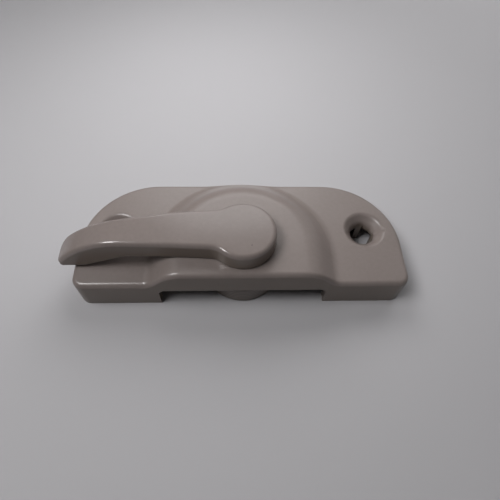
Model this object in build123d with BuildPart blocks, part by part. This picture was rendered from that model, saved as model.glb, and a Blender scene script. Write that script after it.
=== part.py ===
from build123d import *
import os
from math import cos, radians, sin, sqrt, tan

# Cam-action sash lock: a hollow cast housing with a raised dome, a thumb lever whose spindle
# passes down through the dome, and a hooked cam keyed to the spindle's lower end.
# Millimetres. X runs along the lock, Y from the notched front to the back, Z up.
# The origin is midway between the two screw holes, on the plane the lock is screwed down to.
# The lever is drawn as it lies with the cam drawn in, pointing along -X.

# Housing
body_length = 73.0
body_depth = 27.8
wing_height = 8.1
dome_height = 12.3
wall = 2.0
back_corner_radius = 17.0
front_corner_radius = 2.6
top_edge_round = 1.1

# Dome that carries the pivot: a flat crown falling to the wings in an S-shaped slope
dome_setback = 7.6
dome_crown_radius = 15.6
dome_slope = 42.0
crown_round = 6.5
foot_round = 3.2

# Front notch that the cam swings out of
notch_width = 36.6
notch_height = 5.9
notch_chamfer = 1.0

# Screw holes
hole_spacing = 56.8
hole_setback = 14.5
hole_diameter = 5.6
countersink_diameter = 9.9
countersink_angle = 90.0
screw_boss_wall = 1.4
screw_boss_depth = 3.7
rib_thickness = 1.5

# Pivot
pivot_setback = 8.8
spindle_diameter = 8.0
spindle_play = 0.06
pivot_boss_wall = 2.6
pivot_boss_depth = 1.7

# Lever
lever_gap = 0.3
lever_thickness = 4.0
lever_reach = 39.3
head_radius = 7.4
bearing_ring_width = 1.8
arm_front_root = 5.0
arm_front_tip = 4.05
arm_back_root = 5.7
arm_back_waist = 4.0
arm_back_tip = 2.0
waist_reach = 22.0
tip_front_round = 1.2
tip_back_round = 3.0
head_blend = 4.0
bend_start = 25.5
toe_clearance = 1.0
toe_length = 5.6
toe_lip = 0.9
arch_run = 9.0
arch_round = 5.0
lever_draft = 3.0
lever_edge_round = 1.0

# Square drive and spun-over end of the spindle
drive_width = 5.5
drive_play = 0.05
drive_shoulder = 0.2
tenon_diameter = 4.6
rivet_diameter = 7.6
rivet_height = 0.8
rivet_chamfer = 0.4

# Cam
cam_flush = 0.1
cam_ground_gap = 0.5
cam_height = 5.0
hook_clearance = 0.6
hook_thickness = 3.4
hook_lead = 1.2
hook_nose_angle = 58.0
hook_heel_angle = 138.0
hook_root_angle = 190.0
throat_end_angle = 9.0
detent_width = 11.0
detent_height = 2.2
detent_clearance = 0.3
well_floor_gap = 0.3
well_play = 0.3

# Thin steel pieces
washer_thickness = 0.5
washer_diameter = 9.2
washer_play = 0.05
spring_washer_thickness = 0.4
spring_washer_width = 1.5
spring_washer_play = 0.15
strip_thickness = 0.4
strip_length = 26.0
strip_play = 0.05
strip_rise = 0.3
post_width = 3.2

front_y = -hole_setback
middle_y = front_y + body_depth / 2
dome_y = front_y + dome_setback
pivot_y = front_y + pivot_setback
bore_radius = spindle_diameter / 2 + spindle_play
boss_bottom = dome_height - wall - pivot_boss_depth
lever_base = dome_height + lever_gap
lever_top = lever_base + lever_thickness
toe_bottom = wing_height + toe_clearance
cam_top = cam_ground_gap + cam_height
detent_top = cam_top + detent_height
rivet_bottom = cam_ground_gap + well_floor_gap
washer_bottom = rivet_bottom + rivet_height
well_top = washer_bottom + washer_thickness
cam_radius = pivot_setback - cam_flush
hook_reach = body_depth - wall - pivot_setback - hook_clearance
washer_inner = drive_width / sqrt(2) + spring_washer_play
washer_outer = washer_inner + spring_washer_width
strip_y = pivot_y + detent_width / 2 + strip_play + strip_thickness / 2
strip_bottom = cam_top + strip_rise

os.makedirs("parts", exist_ok=True)


def pivot_plane(height):
    """Level plane at the given height, centred on the pivot."""
    return Plane((0, pivot_y, height))


def upright_plane(y):
    """Plane facing the front at the given depth, with X to the right and Z up."""
    return Plane((0, y, 0), x_dir=(1, 0, 0), z_dir=(0, -1, 0))


def polar(radius, angle):
    """Point at a radius and an angle in degrees."""
    return (radius * cos(radians(angle)), radius * sin(radians(angle)))


def lock_form(inset, crown_radius=0, foot_radius=0):
    """The housing's block and dome, drawn in from the outer skin by inset."""
    crown_z = dome_height - inset
    wing_z = wing_height - inset
    crown = dome_crown_radius - inset * tan(radians(dome_slope / 2))
    foot = crown + (crown_z - wing_z) / tan(radians(dome_slope))
    skirt = foot + foot_round
    with BuildPart() as form:
        with BuildSketch() as footprint:
            with Locations((0, middle_y)):
                Rectangle(body_length - 2 * inset, body_depth - 2 * inset)
            fillet(footprint.vertices().group_by(Axis.Y)[-1], back_corner_radius - inset)
            fillet(footprint.vertices().group_by(Axis.Y)[0], front_corner_radius)
        extrude(amount=wing_z)
        with BuildSketch(upright_plane(dome_y)) as half_section:
            with BuildLine():
                slope = FilletPolyline(
                    (0, crown_z),
                    (crown, crown_z),
                    (foot, wing_z),
                    (skirt, wing_z),
                    radius=[crown_radius, foot_radius],
                )
                Polyline(slope @ 1, (skirt, wing_z / 2), (0, wing_z / 2), slope @ 0)
            make_face()
        revolve(axis=Axis((0, dome_y, 0), (0, 0, 1)))
        with BuildSketch(upright_plane(dome_y)):
            add(half_section.sketch)
            mirror(about=Plane.YZ)
        extrude(amount=dome_setback)
        with BuildSketch():
            add(footprint.sketch)
        extrude(amount=crown_z, mode=Mode.INTERSECT)
    return form.part


# Bosses, ribs and spring posts inside the housing, trimmed to end within its walls
with BuildPart() as inner_works:
    with BuildSketch():
        with GridLocations(hole_spacing, 0, 2, 1):
            Rectangle(rib_thickness, body_depth)
        Rectangle(body_length, rib_thickness)
        with Locations((0, pivot_y)):
            Circle(hook_reach + hook_clearance, mode=Mode.SUBTRACT)
        Rectangle(notch_width, body_depth, mode=Mode.SUBTRACT)
    extrude(amount=dome_height)
    with BuildSketch(Plane.XY.offset(wing_height - screw_boss_depth)):
        with GridLocations(hole_spacing, 0, 2, 1):
            Circle(countersink_diameter / 2 + screw_boss_wall)
    extrude(amount=screw_boss_depth)
    with BuildSketch(pivot_plane(boss_bottom)):
        Circle(bore_radius + pivot_boss_wall)
    extrude(amount=dome_height - boss_bottom)
    with BuildSketch(Plane.XY.offset(strip_bottom)):
        with Locations((0, strip_y)):
            with GridLocations(strip_length - post_width, 0, 2, 1):
                Rectangle(post_width, post_width)
            Rectangle(strip_length, strip_thickness + 2 * strip_play, mode=Mode.SUBTRACT)
    extrude(amount=dome_height - strip_bottom)
    add(lock_form(wall / 2), mode=Mode.INTERSECT)

with BuildPart() as housing:
    add(lock_form(0, crown_round, foot_round))
    walls = housing.faces().filter_by(lambda face: abs(face.normal_at().Z) < 0.01)
    rim = walls.edges().filter_by(lambda edge: edge.bounding_box().min.Z > wing_height - 0.01)
    fillet(rim, top_edge_round)
    add(lock_form(wall), mode=Mode.SUBTRACT)
    add(inner_works.part)
    with BuildSketch(upright_plane(front_y)) as notch:
        Rectangle(notch_width, notch_height, align=(Align.CENTER, Align.MIN))
        chamfer(notch.vertices().group_by(Axis.Y)[-1], notch_chamfer)
    extrude(amount=-2 * wall, mode=Mode.SUBTRACT)
    with Locations(Plane.XY.offset(wing_height)):
        with GridLocations(hole_spacing, 0, 2, 1):
            CounterSinkHole(
                hole_diameter / 2,
                countersink_diameter / 2,
                counter_sink_angle=countersink_angle,
            )
    with Locations(pivot_plane(dome_height)):
        Hole(bore_radius)
housing.part.label = "housing"
export_step(housing.part, "parts/housing.step")

# Lever with its spindle, cast in one and spun over below the cam
with BuildPart() as lever:
    with BuildSketch(pivot_plane(toe_bottom)) as plan:
        with BuildLine():
            root = (-head_radius / 2, arm_back_root)
            back = TangentArc(root, (-waist_reach, arm_back_waist), tangent=(-1, 0))
            hip = TangentArc(back @ 1, (-lever_reach, arm_back_tip), tangent=back % 1)
            tip = Line(hip @ 1, (-lever_reach, -arm_front_tip))
            front = ThreePointArc(
                tip @ 1,
                (-bend_start, -arm_front_tip),
                (-head_radius / 2, -arm_front_root),
            )
            Line(front @ 1, back @ 0)
        make_face()
        fillet(plan.vertices().group_by(Axis.X)[0].sort_by(Axis.Y)[-1], tip_back_round)
        fillet(plan.vertices().group_by(Axis.X)[0].sort_by(Axis.Y)[0], tip_front_round)
        Circle(head_radius)
        fillet(plan.vertices().filter_by_position(Axis.X, -head_radius, -head_radius / 2), head_blend)
    extrude(amount=lever_top - toe_bottom, taper=lever_draft)
    with BuildSketch(upright_plane(pivot_y + 2 * head_radius)):
        with BuildLine():
            top = Line((2 * head_radius, lever_top), (-bend_start, lever_top))
            bend = TangentArc(top @ 1, (-lever_reach, toe_bottom + toe_lip), tangent=(-1, 0))
            underside = FilletPolyline(
                (-lever_reach, toe_bottom),
                (-lever_reach + toe_length, toe_bottom),
                (-lever_reach + toe_length + arch_run, lever_base),
                (2 * head_radius, lever_base),
                radius=arch_round,
            )
            Line(bend @ 1, underside @ 0)
            Line(underside @ 1, top @ 0)
        make_face()
    extrude(amount=4 * head_radius, mode=Mode.INTERSECT)
    crests = lever.faces().filter_by(lambda face: face.normal_at().Z > 0.3)
    rim = crests.edges().filter_by(lambda edge: abs(edge.center().X + bend_start) > 0.01)
    fillet(rim, lever_edge_round)
    with BuildSketch(pivot_plane(dome_height)):
        Circle(bore_radius + bearing_ring_width)
    extrude(amount=lever_gap)
    with BuildSketch(pivot_plane(boss_bottom)):
        Circle(spindle_diameter / 2)
    extrude(amount=lever_base - boss_bottom)
    with BuildSketch(pivot_plane(well_top + drive_shoulder)):
        Rectangle(drive_width, drive_width)
    extrude(amount=boss_bottom - well_top - drive_shoulder)
    with BuildSketch(pivot_plane(washer_bottom)):
        Circle(tenon_diameter / 2)
    extrude(amount=well_top + drive_shoulder - washer_bottom)
    with BuildSketch(pivot_plane(rivet_bottom)):
        Circle(rivet_diameter / 2)
    extrude(amount=rivet_height)
    chamfer(lever.edges().group_by(Axis.Z)[0], rivet_chamfer)
lever.part.label = "lever handle"
export_step(lever.part, "parts/lever_handle.step")

# Locking cam: a round hub flush with the housing's front and a hook that draws the keeper in
with BuildPart() as cam:
    with BuildSketch(pivot_plane(cam_ground_gap)):
        Circle(cam_radius)
        with BuildLine():
            throat = hook_reach - hook_thickness
            middle_angle = (hook_nose_angle + hook_heel_angle) / 2
            outer = ThreePointArc(
                polar(hook_reach, hook_heel_angle),
                polar(hook_reach, middle_angle),
                polar(hook_reach, hook_nose_angle),
            )
            inner = ThreePointArc(
                polar(throat + hook_lead, hook_nose_angle),
                polar(throat + hook_lead / 2, middle_angle),
                polar(throat, hook_heel_angle),
            )
            Line(outer @ 1, inner @ 0)
            throat_end = ThreePointArc(
                inner @ 1,
                polar((throat + cam_radius) / 2, hook_heel_angle + throat_end_angle),
                polar(cam_radius, hook_heel_angle),
            )
            heel = TangentArc(outer @ 0, polar(cam_radius, hook_root_angle), tangent=-(outer % 0))
            Polyline(throat_end @ 1, (0, 0), heel @ 1)
        make_face()
    extrude(amount=cam_height)
    with BuildSketch(pivot_plane(cam_top)):
        Rectangle(detent_width, detent_width)
        Circle(pivot_setback - wall - detent_clearance, mode=Mode.INTERSECT)
    extrude(amount=detent_height)
    with BuildSketch(pivot_plane(cam_ground_gap)):
        Circle(washer_diameter / 2 + well_play)
    extrude(amount=well_top - cam_ground_gap, mode=Mode.SUBTRACT)
    with BuildSketch(pivot_plane(well_top)):
        Rectangle(drive_width + 2 * drive_play, drive_width + 2 * drive_play)
    extrude(amount=detent_top - well_top, mode=Mode.SUBTRACT)
cam.part.label = "locking cam"
export_step(cam.part, "parts/locking_cam.step")

# Flat washer under the spun-over end
with BuildPart() as rivet_washer:
    with BuildSketch(pivot_plane(washer_bottom)):
        Circle(washer_diameter / 2)
        Circle(tenon_diameter / 2 + washer_play, mode=Mode.SUBTRACT)
    extrude(amount=washer_thickness)
rivet_washer.part.label = "rivet washer"
export_step(rivet_washer.part, "parts/rivet_washer.step")

# Bowed spring washer between the cam and the pivot boss, which takes up the end play
with BuildPart() as spring_washer:
    with BuildSketch(upright_plane(pivot_y + washer_outer)):
        with BuildLine():
            crest = boss_bottom - spring_washer_thickness
            under = ThreePointArc((-washer_outer, detent_top), (0, crest), (washer_outer, detent_top))
            over = ThreePointArc(
                (-washer_outer, detent_top + spring_washer_thickness),
                (0, boss_bottom),
                (washer_outer, detent_top + spring_washer_thickness),
            )
            Line(under @ 0, over @ 0)
            Line(under @ 1, over @ 1)
        make_face()
    extrude(amount=2 * washer_outer)
    with BuildSketch(pivot_plane(detent_top)):
        Circle(washer_outer)
        Circle(washer_inner, mode=Mode.SUBTRACT)
    extrude(amount=boss_bottom - detent_top, mode=Mode.INTERSECT)
spring_washer.part.label = "spring washer"
export_step(spring_washer.part, "parts/spring_washer.step")

# Leaf spring that snaps onto the flats of the cam's square
with BuildPart() as detent_spring:
    with BuildSketch(Plane.XY.offset(strip_bottom)):
        with Locations((0, strip_y)):
            Rectangle(strip_length, strip_thickness)
    extrude(amount=detent_top - strip_bottom)
detent_spring.part.label = "detent spring"
export_step(detent_spring.part, "parts/detent_spring.step")
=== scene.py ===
from math import radians

import bmesh
import bpy
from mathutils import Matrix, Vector


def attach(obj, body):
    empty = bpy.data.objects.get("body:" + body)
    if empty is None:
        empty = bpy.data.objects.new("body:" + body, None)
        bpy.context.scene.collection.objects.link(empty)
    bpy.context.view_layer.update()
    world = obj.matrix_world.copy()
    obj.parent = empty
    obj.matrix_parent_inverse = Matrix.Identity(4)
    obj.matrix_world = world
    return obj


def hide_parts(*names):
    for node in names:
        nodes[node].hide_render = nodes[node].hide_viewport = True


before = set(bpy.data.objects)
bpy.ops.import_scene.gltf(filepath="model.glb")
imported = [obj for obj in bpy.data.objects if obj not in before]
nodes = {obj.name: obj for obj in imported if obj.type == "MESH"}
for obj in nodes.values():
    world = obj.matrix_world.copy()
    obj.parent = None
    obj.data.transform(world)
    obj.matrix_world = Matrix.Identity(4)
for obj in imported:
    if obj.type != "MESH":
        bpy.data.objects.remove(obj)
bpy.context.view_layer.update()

MM = 0.001

# Paint and metal colours, linear
TAUPE = (0.228, 0.191, 0.178, 1.0)
TAUPE_DUSTY = (0.248, 0.209, 0.196, 1.0)
# Darker paint for faces that do not look up: painted shade on upright and sloping faces
TAUPE_SHADED_SIDE = (0.184, 0.150, 0.128, 1.0)
# Lighter paint on edges: handling wear and a painted highlight
TAUPE_RUBBED_HIGHLIT = (0.335, 0.290, 0.270, 1.0)
# Dark colour for the painted shade in corners and gaps, and for the tool marks on the cam
SHADE_AND_MARK_DARK = (0.040, 0.033, 0.029, 1.0)
CHIP = (0.022, 0.018, 0.016, 1.0)
STEEL = (0.46, 0.46, 0.47, 1.0)
STEEL_OILED = (0.27, 0.25, 0.23, 1.0)
FLOOR = (0.49, 0.48, 0.497, 1.0)
ROOM = (0.63, 0.62, 0.60, 1.0)

# Roughness of the coat as sprayed, and where fingers have polished it
SPRAYED = (0.28, 0.36)
HANDLED = (0.13, 0.20)

# Sprayed coat: sizes of its slow drift and of its fine mottle in mm, their detail and shares in the tone
DRIFT_SIZE = 14.0
DRIFT_DETAIL = 3.0
MOTTLE_SIZE = 0.9
MOTTLE_DETAIL = 4.0
DRIFT_SHARE = 0.55
MOTTLE_SHARE = 0.45
TONE_SPAN = (0.34, 0.68)
PEEL_STRENGTH = 0.06
PEEL_DEPTH = 0.05 * MM

# How far a face looks up, from 0 upright to 1 level, where the painted shade on upright and sloping faces
# starts to give way and where the tone of the tops covers
SIDE_SHADE_SPAN = (0.05, 0.45)

# Rubbed edges, lightened as handling wear and as a painted highlight: radius, how sharply the edge has to
# turn, size of the worn patches in mm, and amount
CASTING_EDGE = 0.22 * MM
STEEL_EDGE = 0.08 * MM
EDGE_TURN = (0.025, 0.12)
RUB_PATCH_SIZE = 2.2
RUB_PATCH_DETAIL = 5.0
RUB_PATCHES = (0.30, 0.62)
CASTING_RUB_AND_HIGHLIGHT = 0.9
STEEL_RUB = 0.5

# Painted shade in corners and gaps: how far a corner gathers it, how shut in the corner is, its patches,
# and amount on each casting
SHADE_REACH = 0.6 * MM
SHUT_IN = (0.45, 0.95)
SHADE_NOISE = {"scale": 0.7 / MM, "detail": 3.0}
SHADE_PATCHES = (0.2, 0.6)
HOUSING_CORNER_SHADE = 0.2
LEVER_CORNER_SHADE = 0.6
CAM_CORNER_SHADE = 0.2

# Rays that feel for edges and corners
FEELERS = 8

# Small chips in the paint: place on the part and radius in mm,
# and the least share of that radius at a ragged edge
HOUSING_CHIPS = (((-15.6, -11.4, 11.3), 0.16),)
LEVER_CHIPS = (((1.7, -9.6, 16.5), 0.15),)
CHIP_NOISE = {"scale": 6.0 / MM, "detail": 2.0}
CHIP_LEAST = 0.5

# Tool marks round the cam
MARK_SCALE = 0.40 / MM
MARK_WANDER = 1.0
MARK_WANDER_SCALE = 0.3 / MM
MARK_DETAIL = 2.0
MARK_TONE = 0.62

# Rolled steel: the lay squeezes the grain along one axis
WASHER_LAY = (1.0, 0.05, 1.0)
STRIP_LAY = (0.05, 1.0, 1.0)
STEEL_GRAIN = {"scale": 9.0 / MM, "detail": 4.0}
STEEL_GRAIN_TONE = 0.35
STEEL_GRAIN_STRENGTH = 0.15
STEEL_GRAIN_DEPTH = 0.01 * MM
STEEL_ROUGHNESS = 0.22
STEEL_GRAIN_ROUGHNESS = 0.25
OIL_NOISE = {"scale": 0.25 / MM, "detail": 3.0}
OIL_PATCHES = (0.45, 0.70)

# Edges sharper than this stay crisp, and faces flatter than this are joined, in degrees
CREASE = 32.0
FLAT = 0.2
WELD = 0.002 * MM
LARGE_FACE_WEIGHT = 90

# Lamps: direction from the object, distance, width and depth in mm, power in watts,
# seen in gloss, lights the coat
LAMPS = {
    "key": ((-0.48, -0.13, 0.87), 230.0, (150.0, 75.0), 0.19, False, True),
    "key window": ((-0.50, -0.05, 0.865), 250.0, (70.0, 70.0), 0.36, True, False),
    "back panel": ((-0.10, 0.62, 0.78), 115.0, (80.0, 80.0), 0.055, False, True),
    "right panel": ((0.55, 0.73, 0.40), 300.0, (250.0, 250.0), 0.32, False, True),
    "back window": ((0.00, 0.72, 0.69), 280.0, (190.0, 150.0), 0.19, True, False),
}
ROOM_STRENGTH = 0.08
BACKDROP_STRENGTH = 0.16

# Fill light from far off: direction from the object, spread in degrees, strength
FILL_LIGHT = ((-0.50, -0.08, 0.86), 24.0, 0.46)

# Floor: width in metres and roughness
FLOOR_WIDTH = 4.0
FLOOR_ROUGHNESS = 0.85

# Camera, fitted to the viewing angle: place in mm, turn in degrees, lens and sensor in mm,
# and the nearest and farthest that it sees, in metres
CAMERA_PLACE = Vector((-2.33, -54.75, 88.42))
CAMERA_TURN = (31.51, -1.92, -1.50)
CAMERA_LENS = 30.33
SENSOR = 36.0
NEAREST = 1 * MM
FARTHEST = 20.0


class Tree:
    """A node tree with short ways to add and link nodes."""

    def __init__(self, tree):
        self.tree = tree

    def link(self, source, target):
        self.tree.links.new(source, target)

    def give(self, socket, value):
        """Link another node's output to a socket, or set a plain value on it."""
        if isinstance(value, bpy.types.NodeSocket):
            self.link(value, socket)
        else:
            socket.default_value = value

    def add(self, kind, values=None, **settings):
        node = self.tree.nodes.new(kind)
        for name, value in settings.items():
            setattr(node, name, value)
        for socket, value in (values or {}).items():
            self.give(node.inputs[socket], value)
        return node

    def place(self):
        """Where on the part a point is, in metres."""
        return self.add("ShaderNodeTexCoord").outputs["Object"]

    def facing(self):
        return self.add("ShaderNodeNewGeometry").outputs["Normal"]

    def noise(self, place, scale, detail):
        values = {"Vector": place, "Scale": scale, "Detail": detail}
        return self.add("ShaderNodeTexNoise", values).outputs[0]

    def math(self, operation, a, b, clamp=False):
        return self.add("ShaderNodeMath", {0: a, 1: b}, operation=operation, use_clamp=clamp).outputs[0]

    def mix(self, factor, a, b):
        """Colour a where the factor is 0, b where it is 1, on the node's colour sockets."""
        return self.add("ShaderNodeMix", {0: factor, 6: a, 7: b}, data_type="RGBA").outputs[2]

    def ramp(self, value, span):
        """0 below the span, 1 above it, smooth between."""
        low, high = span
        return self.add(
            "ShaderNodeMapRange",
            {"Value": value, "From Min": low, "From Max": high},
            interpolation_type="SMOOTHSTEP",
        ).outputs[0]

    def bump(self, height, normal, strength, depth):
        values = {"Strength": strength, "Distance": depth, "Height": height, "Normal": normal}
        return self.add("ShaderNodeBump", values).outputs[0]

    def group(self, group, values):
        return self.add("ShaderNodeGroup", values, node_tree=group).outputs


def new_group(name, inputs, outputs):
    """An empty shader group with named sockets, its input sockets and its output node's sockets."""
    tree = bpy.data.node_groups.new(name, "ShaderNodeTree")
    for label, kind, default in inputs:
        socket = tree.interface.new_socket(label, in_out="INPUT", socket_type=kind)
        socket.default_value = default
    for label, kind in outputs:
        tree.interface.new_socket(label, in_out="OUTPUT", socket_type=kind)
    t = Tree(tree)
    return t, t.add("NodeGroupInput").outputs, t.add("NodeGroupOutput").inputs


def paint_tone_group():
    """Colour drift, fine mottle and orange peel of a sprayed coat, with painted shade that darkens the
    faces that do not look up.
    """
    t, given, out = new_group(
        "Paint tone",
        [
            ("Paint", "NodeSocketColor", TAUPE),
            ("Dusty paint", "NodeSocketColor", TAUPE_DUSTY),
            ("Shaded side paint", "NodeSocketColor", TAUPE_SHADED_SIDE),
            ("Drift size", "NodeSocketFloat", DRIFT_SIZE),
            ("Mottle size", "NodeSocketFloat", MOTTLE_SIZE),
            ("Roughness low", "NodeSocketFloat", SPRAYED[0]),
            ("Roughness high", "NodeSocketFloat", SPRAYED[1]),
        ],
        [("Color", "NodeSocketColor"), ("Roughness", "NodeSocketFloat"), ("Peel", "NodeSocketFloat")],
    )
    place = t.place()
    drift = t.noise(place, t.math("DIVIDE", 1.0 / MM, given["Drift size"]), DRIFT_DETAIL)
    mottle_scale = t.math("DIVIDE", 1.0 / MM, given["Mottle size"])
    mottle = t.noise(place, mottle_scale, MOTTLE_DETAIL)
    tone = t.math("ADD", t.math("MULTIPLY", drift, DRIFT_SHARE), t.math("MULTIPLY", mottle, MOTTLE_SHARE))
    coat = t.mix(t.ramp(tone, TONE_SPAN), given["Paint"], given["Dusty paint"])
    up = t.add("ShaderNodeSeparateXYZ", {"Vector": t.facing()}).outputs["Z"]
    # Faces that do not look up take the darker paint: painted shade
    t.link(t.mix(t.ramp(up, SIDE_SHADE_SPAN), given["Shaded side paint"], coat), out["Color"])
    span = t.math("SUBTRACT", given["Roughness high"], given["Roughness low"])
    t.link(t.math("ADD", given["Roughness low"], t.math("MULTIPLY", span, drift)), out["Roughness"])
    peel = t.add("ShaderNodeTexVoronoi", {"Vector": place, "Scale": mottle_scale}, feature="SMOOTH_F1")
    t.link(t.math("ADD", peel.outputs[0], mottle), out["Peel"])
    return t.tree


def edge_rub_highlight_group():
    """Where a sharp edge is rounded by its coat, and where it is painted lighter, as handling wear and as
    a painted highlight.
    """
    t, given, out = new_group(
        "Edge rub and highlight",
        [
            ("Edge radius", "NodeSocketFloat", CASTING_EDGE),
            ("Patch size", "NodeSocketFloat", RUB_PATCH_SIZE),
            ("Amount", "NodeSocketFloat", CASTING_RUB_AND_HIGHLIGHT),
        ],
        [("Rub and highlight", "NodeSocketFloat"), ("Normal", "NodeSocketVector")],
    )
    soft = t.add("ShaderNodeBevel", {"Radius": given["Edge radius"]}, samples=FEELERS).outputs[0]
    agree = t.add("ShaderNodeVectorMath", {0: soft, 1: t.facing()}, operation="DOT_PRODUCT")
    edge = t.ramp(t.math("SUBTRACT", 1.0, agree.outputs["Value"]), EDGE_TURN)
    patches = t.noise(t.place(), t.math("DIVIDE", 1.0 / MM, given["Patch size"]), RUB_PATCH_DETAIL)
    rub_and_highlight = t.math("MULTIPLY", edge, t.ramp(patches, RUB_PATCHES))
    t.link(t.math("MULTIPLY", rub_and_highlight, given["Amount"], clamp=True), out["Rub and highlight"])
    t.link(soft, out["Normal"])
    return t.tree


def corner_shade_group():
    """Painted shade that darkens corners and gaps, in uneven patches."""
    t, given, out = new_group(
        "Corner shade",
        [("Reach", "NodeSocketFloat", SHADE_REACH), ("Amount", "NodeSocketFloat", HOUSING_CORNER_SHADE)],
        [("Painted shade", "NodeSocketFloat")],
    )
    open_sky = t.add("ShaderNodeAmbientOcclusion", {"Distance": given["Reach"]}, samples=FEELERS)
    shut = t.ramp(t.math("SUBTRACT", 1.0, open_sky.outputs["AO"]), SHUT_IN)
    patches = t.noise(t.place(), **SHADE_NOISE)
    uneven = t.math("MULTIPLY", shut, t.ramp(patches, SHADE_PATCHES))
    t.link(t.math("MULTIPLY", uneven, given["Amount"], clamp=True), out["Painted shade"])
    return t.tree


PAINT_TONE = paint_tone_group()
EDGE_RUB_HIGHLIGHT = edge_rub_highlight_group()
CORNER_SHADE = corner_shade_group()


def new_material(name):
    """A material, its tree and its shader's input sockets."""
    material = bpy.data.materials.new(name)
    material.use_nodes = True
    return material, Tree(material.node_tree), material.node_tree.nodes["Principled BSDF"].inputs


def chip_mask(t, chips):
    """1 inside any of the small chips."""
    place = t.place()
    ragged = t.math("ADD", t.noise(place, **CHIP_NOISE), CHIP_LEAST)
    total = 0.0
    for centre, radius in chips:
        point = tuple(Vector(centre) * MM)
        away = t.add("ShaderNodeVectorMath", {0: place, 1: point}, operation="DISTANCE")
        inside = t.math("LESS_THAN", away.outputs["Value"], t.math("MULTIPLY", ragged, radius * MM))
        total = t.math("MAXIMUM", total, inside)
    return total


def tool_marks(t):
    """Fine level lines left by the tool, 0 to 1."""
    return t.add(
        "ShaderNodeTexWave",
        {
            "Vector": t.place(),
            "Scale": MARK_SCALE,
            "Distortion": MARK_WANDER,
            "Detail": MARK_DETAIL,
            "Detail Scale": MARK_WANDER_SCALE,
        },
        bands_direction="Z",
    ).outputs["Fac"]


def painted_casting(name, polish, shade_share, chips=(), marks=False):
    """Semi-gloss taupe coat on a zinc casting, its edges lightened as rub and painted highlight, its
    corners darkened with painted shade.

    Polish is the roughness of its smoothest and its dullest patches, shade_share the share of painted
    shade in its corners.
    """
    material, t, shader = new_material(name)
    tone = t.group(PAINT_TONE, {"Roughness low": polish[0], "Roughness high": polish[1]})
    rub_and_highlight = t.group(EDGE_RUB_HIGHLIGHT, {"Amount": CASTING_RUB_AND_HIGHLIGHT})
    corners = t.group(CORNER_SHADE, {"Amount": shade_share})
    # Edges painted lighter: handling wear and a painted highlight
    colour = t.mix(rub_and_highlight["Rub and highlight"], tone["Color"], TAUPE_RUBBED_HIGHLIT)
    # Painted shade darkens corners and gaps
    colour = t.mix(corners["Painted shade"], colour, SHADE_AND_MARK_DARK)
    if chips:
        colour = t.mix(chip_mask(t, chips), colour, CHIP)
    height = tone["Peel"]
    if marks:
        lines = tool_marks(t)
        colour = t.mix(t.math("MULTIPLY", lines, MARK_TONE), colour, SHADE_AND_MARK_DARK)
        height = t.math("ADD", height, lines)
    t.link(colour, shader["Base Color"])
    t.link(tone["Roughness"], shader["Roughness"])
    t.link(t.bump(height, rub_and_highlight["Normal"], PEEL_STRENGTH, PEEL_DEPTH), shader["Normal"])
    return material


def spring_steel(name, lay):
    """Bright rolled steel with fine marks along its lay and thin patches of old oil."""
    material, t, shader = new_material(name)
    shader["Metallic"].default_value = 1.0
    place = t.place()
    drawn = t.add("ShaderNodeMapping", {"Vector": place, "Scale": lay}).outputs[0]
    grain = t.noise(drawn, **STEEL_GRAIN)
    oil = t.noise(place, **OIL_NOISE)
    rub_and_highlight = t.group(EDGE_RUB_HIGHLIGHT, {"Edge radius": STEEL_EDGE, "Amount": STEEL_RUB})
    colour = t.mix(t.ramp(oil, OIL_PATCHES), STEEL, STEEL_OILED)
    colour = t.mix(t.math("MULTIPLY", grain, STEEL_GRAIN_TONE), colour, STEEL_OILED)
    colour = t.mix(rub_and_highlight["Rub and highlight"], colour, STEEL)
    rough = t.math("ADD", STEEL_ROUGHNESS, t.math("MULTIPLY", grain, STEEL_GRAIN_ROUGHNESS))
    t.link(colour, shader["Base Color"])
    t.link(rough, shader["Roughness"])
    t.link(t.bump(grain, rub_and_highlight["Normal"], STEEL_GRAIN_STRENGTH, STEEL_GRAIN_DEPTH), shader["Normal"])
    return material


def dress(node, piece, body, material):
    """A welded, smoothly shaded copy of a solid, in its finish, that stands for it."""
    mesh = nodes[node].data.copy()
    mesh.materials.clear()
    mesh.materials.append(material)
    welded = bmesh.new()
    welded.from_mesh(mesh)
    bmesh.ops.remove_doubles(welded, verts=welded.verts, dist=WELD)
    bmesh.ops.dissolve_degenerate(welded, edges=welded.edges, dist=WELD)
    bmesh.ops.dissolve_limit(welded, angle_limit=radians(FLAT), verts=welded.verts, edges=welded.edges)
    welded.to_mesh(mesh)
    welded.free()
    mesh.shade_smooth()
    mesh.set_sharp_from_angle(angle=radians(CREASE))
    obj = bpy.data.objects.new(piece, mesh)
    bpy.context.scene.collection.objects.link(obj)
    even = obj.modifiers.new("Even shading", "WEIGHTED_NORMAL")
    even.keep_sharp = True
    even.weight = LARGE_FACE_WEIGHT
    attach(obj, body)
    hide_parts(node)


HOUSING_PAINT = painted_casting("Housing paint", SPRAYED, HOUSING_CORNER_SHADE, HOUSING_CHIPS)
LEVER_PAINT = painted_casting("Lever paint", HANDLED, LEVER_CORNER_SHADE, LEVER_CHIPS)
CAM_PAINT = painted_casting("Cam paint", SPRAYED, CAM_CORNER_SHADE, marks=True)
ROLLED_STEEL = spring_steel("Rolled steel", WASHER_LAY)
STRIP_STEEL = spring_steel("Strip steel", STRIP_LAY)

dress("housing", "housing_casting", "housing", HOUSING_PAINT)
dress("lever_handle", "lever_casting", "lever", LEVER_PAINT)
dress("locking_cam", "cam_casting", "lever", CAM_PAINT)
dress("spring_washer", "spring_washer_ring", "lever", ROLLED_STEEL)
dress("rivet_washer", "rivet_washer_ring", "lever", ROLLED_STEEL)
dress("detent_spring", "detent_spring_strip", "housing", STRIP_STEEL)


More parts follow.
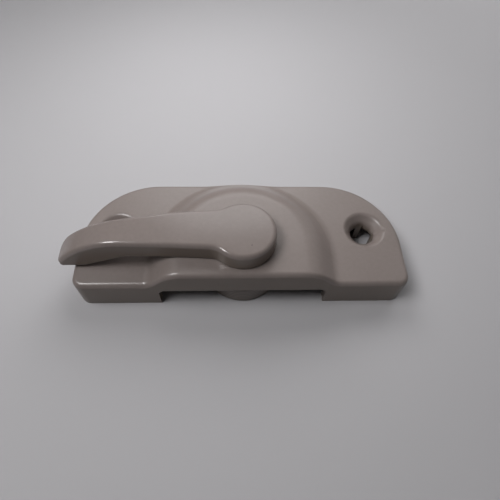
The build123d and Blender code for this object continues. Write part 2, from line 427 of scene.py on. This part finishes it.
def pale_floor():
    """A plain pale surface under the lock."""
    bpy.ops.mesh.primitive_plane_add(size=FLOOR_WIDTH)
    floor = bpy.context.object
    floor.name = "floor"
    material, _, shader = new_material("Floor")
    shader["Base Color"].default_value = FLOOR
    shader["Roughness"].default_value = FLOOR_ROUGHNESS
    floor.data.materials.append(material)


def hang_lamp(name, data, direction):
    """A lamp that shines towards the lock from a direction."""
    lamp = bpy.data.objects.new(name, data)
    lamp.rotation_euler = direction.to_track_quat("Z", "Y").to_euler()
    bpy.context.scene.collection.objects.link(lamp)
    return lamp


def area_lamp(name, direction, distance, size, power, in_gloss, on_coat):
    data = bpy.data.lights.new(name, "AREA")
    data.shape = "ELLIPSE"
    data.size = size[0] * MM
    data.size_y = size[1] * MM
    data.energy = power
    lamp = hang_lamp(name, data, Vector(direction))
    lamp.location = Vector(direction).normalized() * distance * MM
    lamp.visible_camera = False
    lamp.visible_glossy = in_gloss
    lamp.visible_diffuse = on_coat


def fill_light(direction, spread, strength):
    """Soft light from far off, even over the whole floor."""
    data = bpy.data.lights.new("fill", "SUN")
    data.angle = radians(spread)
    data.energy = strength
    hang_lamp("fill", data, Vector(direction)).visible_glossy = False


def room_light():
    """Faint even light from all round, in front of a plain backdrop."""
    world = bpy.data.worlds.new("Room")
    world.use_nodes = True
    t = Tree(world.node_tree)
    seen = t.add("ShaderNodeLightPath").outputs["Is Camera Ray"]
    strength = t.add(
        "ShaderNodeMapRange",
        {"Value": seen, "To Min": ROOM_STRENGTH, "To Max": BACKDROP_STRENGTH},
    ).outputs[0]
    background = world.node_tree.nodes["Background"].inputs
    background["Color"].default_value = ROOM
    t.link(strength, background["Strength"])
    bpy.context.scene.world = world


def viewing_camera():
    data = bpy.data.cameras.new("camera")
    data.lens = CAMERA_LENS
    data.sensor_width = SENSOR
    data.clip_start = NEAREST
    data.clip_end = FARTHEST
    camera = bpy.data.objects.new("camera", data)
    camera.location = CAMERA_PLACE * MM
    camera.rotation_euler = [radians(a) for a in CAMERA_TURN]
    bpy.context.scene.collection.objects.link(camera)
    bpy.context.scene.camera = camera


pale_floor()
for lamp_name, lamp_values in LAMPS.items():
    area_lamp(lamp_name, *lamp_values)
fill_light(*FILL_LIGHT)
room_light()
viewing_camera()
bpy.context.scene.view_settings.view_transform = "Standard"
